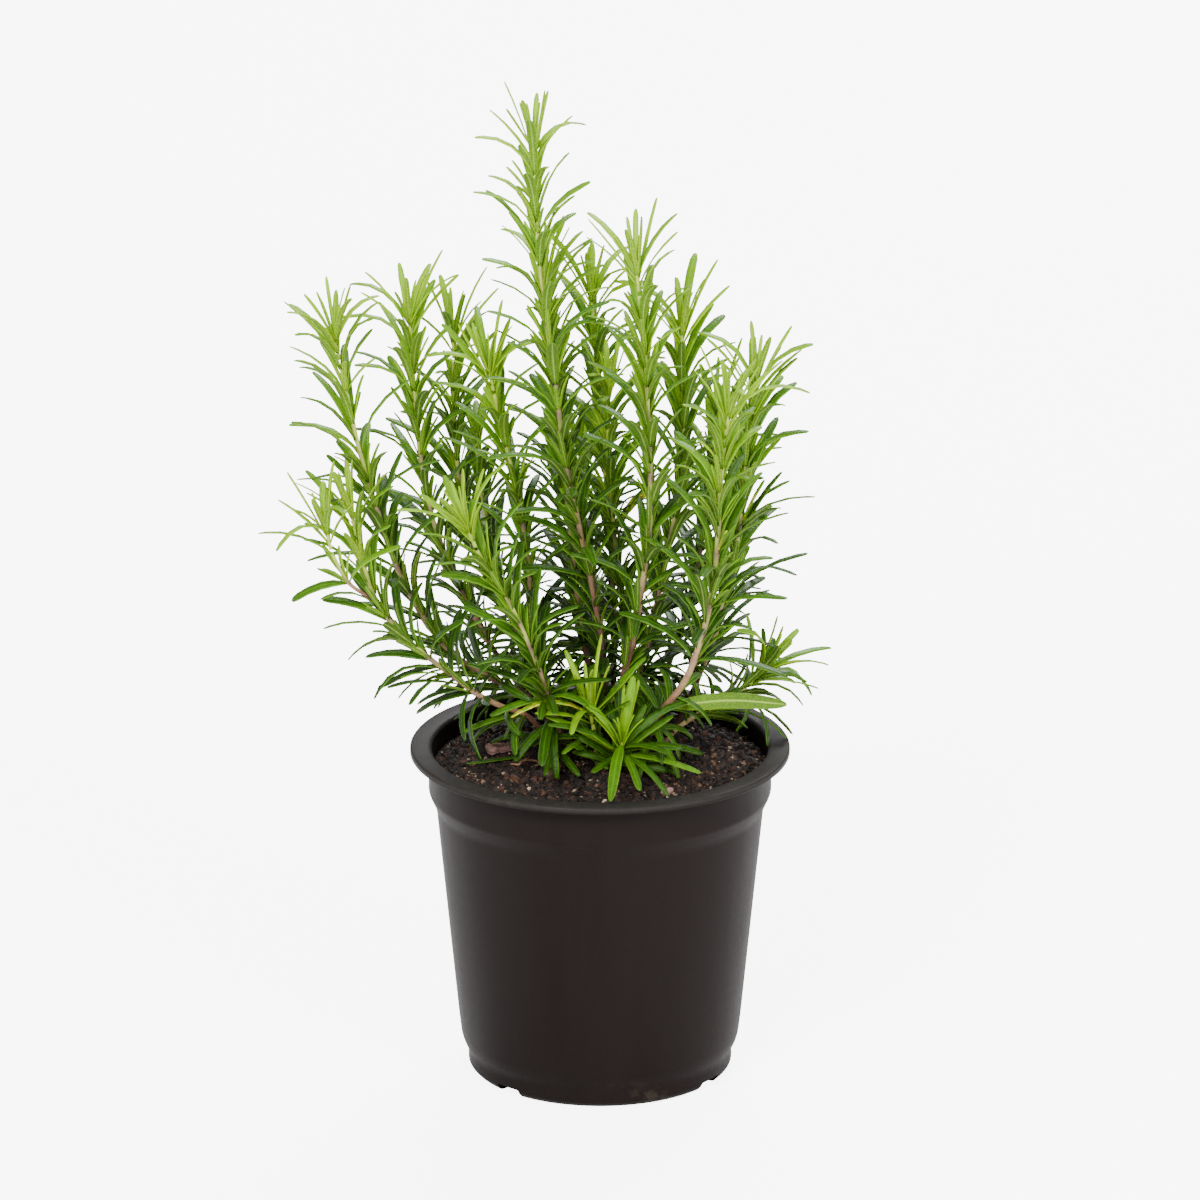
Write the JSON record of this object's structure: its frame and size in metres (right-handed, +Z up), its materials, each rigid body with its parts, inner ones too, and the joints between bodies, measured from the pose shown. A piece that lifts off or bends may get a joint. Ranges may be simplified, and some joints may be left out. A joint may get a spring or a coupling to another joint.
{
  "type": "potted rosemary plant",
  "caption": "Bushy rosemary with upright leafy shoots, planted in compost in a tapered black plastic nursery pot with a rolled rim.",
  "frame": {"origin": "centre of the pot's base, on the surface that the pot stands on", "axes": "+Z up along the pot's axis; -Y towards the side that faces the viewer; +X to the viewer's right"},
  "size_m": [0.1925, 0.1608, 0.3717],
  "materials": {
    "pot_plastic": "satin",
    "compost": "matte",
    "foliage": "satin",
    "young_growth": "satin",
    "leaf_underside": "matte",
    "bark": "matte",
    "dry_root": "matte"
  },
  "bodies": {
    "root": {"back_centre": "foliage", "back_centre_tip": "young_growth", "back_left": "foliage", "back_left_tip": "young_growth", "back_right": "foliage", "back_right_tip": "young_growth", "back_tall": "foliage", "back_tall_tip": "young_growth", "bark_chip": "bark", "bark_chip_small": "bark", "broad_leaf": "leaf_underside", "fallen_leaf": "foliage", "far_right": "foliage", "far_right_tip": "young_growth", "front": "foliage", "front_left": "foliage", "front_left_tip": "young_growth", "front_tip": "young_growth", "hanging_leaf": "foliage", "left_back": "foliage", "left_back_tip": "young_growth", "left_front": "foliage", "left_front_tip": "young_growth", "left_middle": "foliage", "left_middle_tip": "young_growth", "left_outer": "foliage", "left_outer_tip": "young_growth", "left_tall": "foliage", "left_tall_tip": "young_growth", "low_left": "foliage", "low_left_side": "foliage", "low_left_side_tip": "young_growth", "low_left_tip": "young_growth", "low_right": "foliage", "low_right_tip": "young_growth", "middle": "foliage", "middle_tip": "young_growth", "pale_right": "foliage", "pale_right_tip": "young_growth", "pot": "pot_plastic", "rear": "foliage", "rear_right": "foliage", "rear_right_tip": "young_growth", "rear_tip": "young_growth", "right_back": "foliage", "right_back_tip": "young_growth", "right_front": "foliage", "right_front_tip": "young_growth", "root_fibre": "dry_root", "soil": "compost", "tall_centre": "foliage", "tall_centre_tip": "young_growth"}
  },
  "joints": []
}
